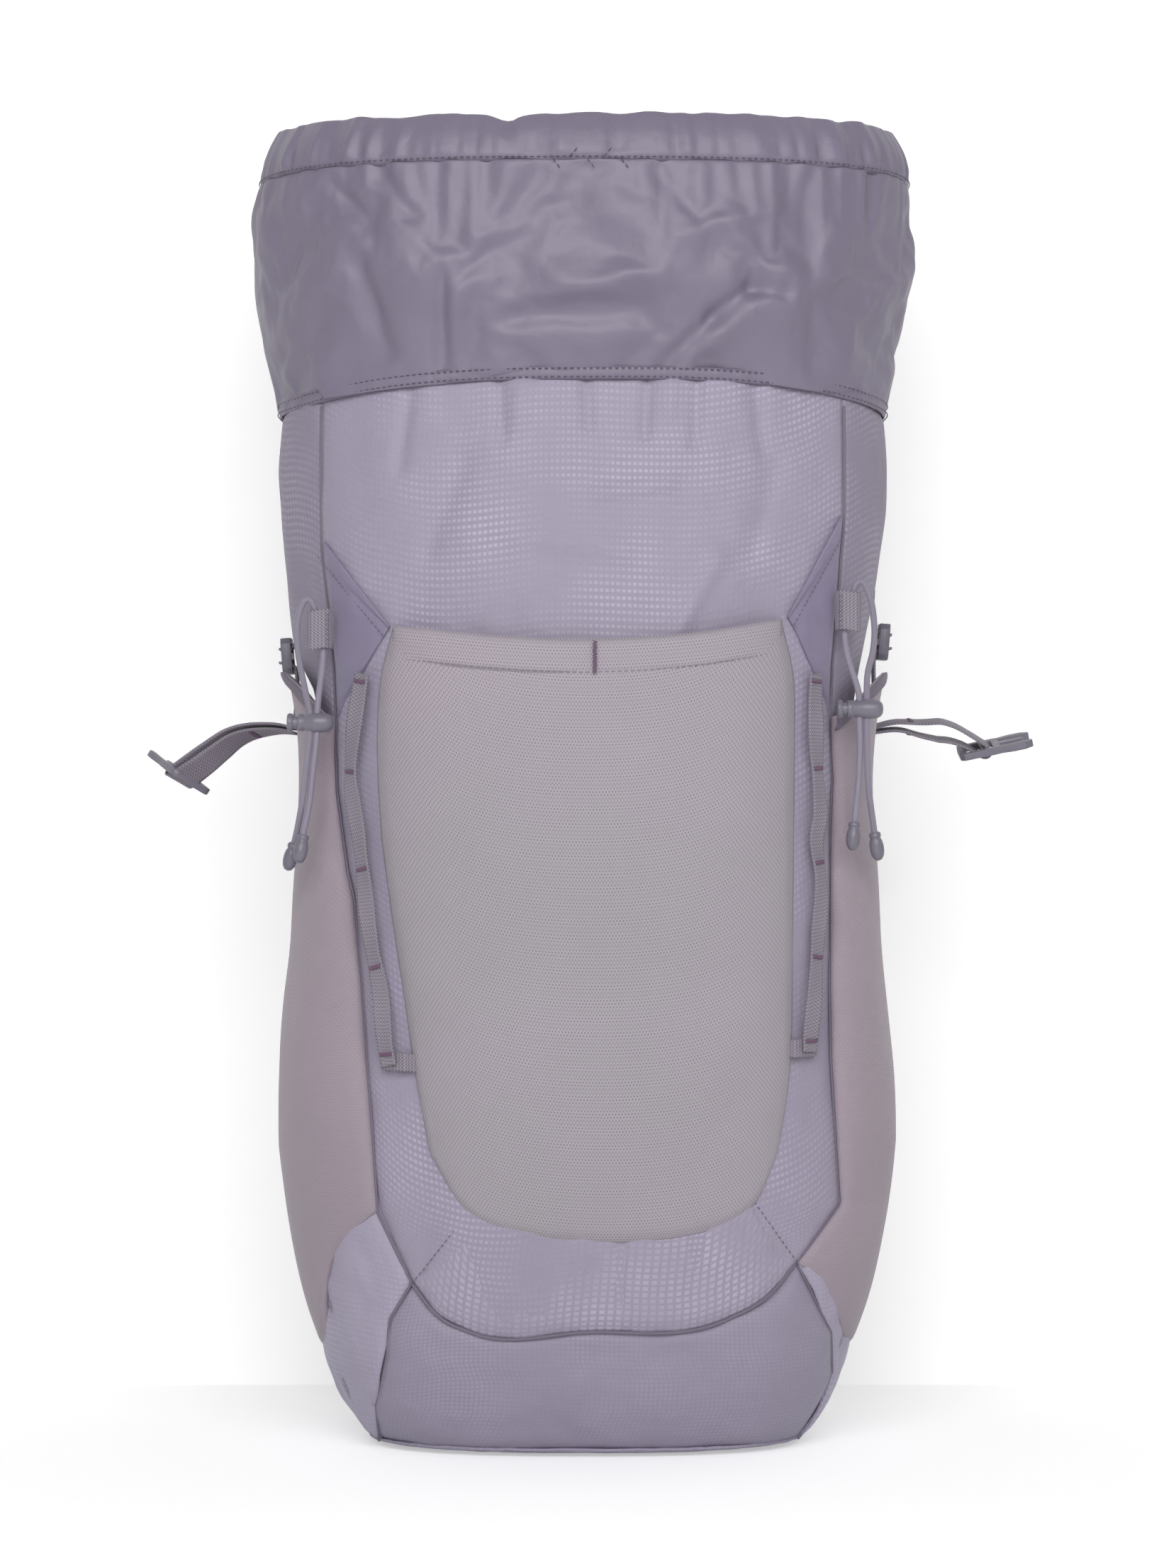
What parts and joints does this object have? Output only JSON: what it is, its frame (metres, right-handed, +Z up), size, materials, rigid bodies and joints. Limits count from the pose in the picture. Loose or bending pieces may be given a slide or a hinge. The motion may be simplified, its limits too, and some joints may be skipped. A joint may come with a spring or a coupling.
{
  "type": "daypack",
  "caption": "Top-loading daypack with a pulled-up extension collar, stretch front and side pockets, webbing loops, cord lacing and side compression straps.",
  "frame": {"origin": "on the floor, in the middle of the flat base panel", "axes": "+Z up; the front with the big pocket faces -Y and the back panel with the shoulder straps faces +Y; left is -X, as seen from the front"},
  "size_m": [0.4422, 0.2552, 0.638],
  "materials": {
    "back_pad": "spacer mesh over foam",
    "base_panel": "ripstop weave",
    "boot_panel": "ripstop weave",
    "collar": "smooth taffeta",
    "collar_hem": "smooth taffeta",
    "compression_strap_left": "woven webbing",
    "compression_strap_right": "woven webbing",
    "cord_end_left_inner": "satin moulded plastic",
    "cord_end_left_outer": "satin moulded plastic",
    "cord_end_right_inner": "satin moulded plastic",
    "cord_end_right_outer": "satin moulded plastic",
    "cord_keeper_left": "woven webbing",
    "cord_keeper_right": "woven webbing",
    "cord_lock_barrel_left": "satin moulded plastic",
    "cord_lock_barrel_right": "satin moulded plastic",
    "cord_lock_plunger_left": "satin moulded plastic",
    "cord_lock_plunger_right": "satin moulded plastic",
    "cord_lock_spring_left": "brushed",
    "cord_lock_spring_right": "brushed",
    "daisy_chain_left": "woven webbing",
    "daisy_chain_right": "woven webbing",
    "frame_sheet": "matt sheet",
    "front_panel": "ripstop weave",
    "front_pocket": "stretch knit mesh",
    "front_wing_left": "smooth coated weave",
    "front_wing_right": "smooth coated weave",
    "haul_loop": "woven webbing",
    "ladder_lock_left": "satin moulded plastic",
    "ladder_lock_right": "satin moulded plastic",
    "ladder_strap_left": "woven webbing",
    "ladder_strap_right": "woven webbing",
    "ladder_tab_left": "woven webbing",
    "ladder_tab_right": "woven webbing",
    "lower_front_panel": "ripstop weave",
    "lower_strap_left": "woven webbing",
    "lower_strap_right": "woven webbing",
    "rear_panel": "spacer mesh over foam",
    "shock_cord_left_inner": "braided cord",
    "shock_cord_left_outer": "braided cord",
    "shock_cord_right_inner": "braided cord",
    "shock_cord_right_outer": "braided cord",
    "shoulder_lock_left": "satin moulded plastic",
    "shoulder_lock_right": "satin moulded plastic",
    "shoulder_strap_left": "spacer mesh over foam",
    "shoulder_strap_right": "spacer mesh over foam",
    "side_panel_left": "ripstop weave",
    "side_panel_right": "ripstop weave",
    "side_pocket_left": "stretch knit mesh",
    "side_pocket_right": "stretch knit mesh",
    "sternum_buckle_female": "satin moulded plastic",
    "sternum_buckle_male": "satin moulded plastic",
    "sternum_strap_left": "woven webbing",
    "sternum_strap_right": "woven webbing",
    "strap_anchor_left": "tape",
    "strap_anchor_right": "tape",
    "strap_buckle_left": "satin moulded plastic",
    "strap_buckle_right": "satin moulded plastic"
  },
  "bodies": {
    "pack": {"back_pad": "back_pad", "base_panel": "base_panel", "boot_panel": "boot_panel", "collar": "collar", "collar_hem": "collar_hem", "cord_end_left_inner": "cord_end_left_inner", "cord_end_left_outer": "cord_end_left_outer", "cord_end_right_inner": "cord_end_right_inner", "cord_end_right_outer": "cord_end_right_outer", "cord_keeper_left": "cord_keeper_left", "cord_keeper_right": "cord_keeper_right", "daisy_chain_left": "daisy_chain_left", "daisy_chain_right": "daisy_chain_right", "frame_sheet": "frame_sheet", "front_panel": "front_panel", "front_pocket": "front_pocket", "front_wing_left": "front_wing_left", "front_wing_right": "front_wing_right", "ladder_lock_left": "ladder_lock_left", "ladder_lock_right": "ladder_lock_right", "ladder_strap_left": "ladder_strap_left", "ladder_strap_right": "ladder_strap_right", "ladder_tab_left": "ladder_tab_left", "ladder_tab_right": "ladder_tab_right", "lower_front_panel": "lower_front_panel", "lower_strap_left": "lower_strap_left", "lower_strap_right": "lower_strap_right", "rear_panel": "rear_panel", "shock_cord_left_inner": "shock_cord_left_inner", "shock_cord_left_outer": "shock_cord_left_outer", "shock_cord_right_inner": "shock_cord_right_inner", "shock_cord_right_outer": "shock_cord_right_outer", "shoulder_lock_left": "shoulder_lock_left", "shoulder_lock_right": "shoulder_lock_right", "shoulder_strap_left": "shoulder_strap_left", "shoulder_strap_right": "shoulder_strap_right", "side_panel_left": "side_panel_left", "side_panel_right": "side_panel_right", "side_pocket_left": "side_pocket_left", "side_pocket_right": "side_pocket_right", "strap_anchor_left": "strap_anchor_left", "strap_anchor_right": "strap_anchor_right"},
    "compression_left": {"compression_strap_left": "compression_strap_left"},
    "compression_right": {"compression_strap_right": "compression_strap_right"},
    "buckle_left": {"strap_buckle_left": "strap_buckle_left"},
    "buckle_right": {"strap_buckle_right": "strap_buckle_right"},
    "cord_lock_left": {"cord_lock_barrel_left": "cord_lock_barrel_left", "cord_lock_spring_left": "cord_lock_spring_left"},
    "cord_lock_right": {"cord_lock_barrel_right": "cord_lock_barrel_right", "cord_lock_spring_right": "cord_lock_spring_right"},
    "lock_button_left": {"cord_lock_plunger_left": "cord_lock_plunger_left"},
    "lock_button_right": {"cord_lock_plunger_right": "cord_lock_plunger_right"},
    "haul": {"haul_loop": "haul_loop"},
    "chest_strap": {"sternum_strap_left": "sternum_strap_left", "sternum_strap_right": "sternum_strap_right", "sternum_buckle_female": "sternum_buckle_female", "sternum_buckle_male": "sternum_buckle_male"}
  },
  "joints": [
    {"name": "compression_left_swing", "type": "hinge", "parent": "pack", "child": "compression_left", "pos_m": [-0.1448, 0.045, 0.3464], "axis": [0, 0, 1], "range_deg": [-60, 43]},
    {"name": "compression_right_swing", "type": "hinge", "parent": "pack", "child": "compression_right", "pos_m": [0.142, 0.045, 0.347], "axis": [0, 0, 1], "range_deg": [-10, 45]},
    {"name": "buckle_left_tilt", "type": "hinge", "parent": "compression_left", "child": "buckle_left", "pos_m": [-0.201, 0.035, 0.324], "axis": [0.7116, 0.5438, -0.4448], "range_deg": [0, 10]},
    {"name": "buckle_right_tilt", "type": "hinge", "parent": "compression_right", "child": "buckle_right", "pos_m": [0.1975, 0.037, 0.3375], "axis": [-0.012, 0.9787, 0.2049], "range_deg": [-8, 0]},
    {"name": "cord_lock_left_slide", "type": "slide", "parent": "pack", "child": "cord_lock_left", "axis": [-0.105, 0, -0.9945], "range_m": [0, 0.03]},
    {"name": "cord_lock_right_slide", "type": "slide", "parent": "pack", "child": "cord_lock_right", "axis": [0.0125, 0, -0.9999], "range_m": [0, 0.03]},
    {"name": "lock_button_left_press", "type": "slide", "parent": "cord_lock_left", "child": "lock_button_left", "axis": [1, 0, 0], "range_m": [0, 0.002], "stiffness_N_per_m": 600, "deforming": ["cord_lock_spring_left"]},
    {"name": "lock_button_right_press", "type": "slide", "parent": "cord_lock_right", "child": "lock_button_right", "axis": [1, 0, 0], "range_m": [0, 0.002], "stiffness_N_per_m": 600, "deforming": ["cord_lock_spring_right"]},
    {"name": "haul_loop_fold", "type": "hinge", "parent": "pack", "child": "haul", "pos_m": [0, 0.0885, 0.489], "axis": [1, 0, 0], "range_deg": [-80, 3], "stiffness_Nm_per_rad": 0.01},
    {"name": "chest_strap_slide", "type": "slide", "parent": "pack", "child": "chest_strap", "axis": [0, 0, 1], "range_m": [-0.03, 0.03]}
  ]
}
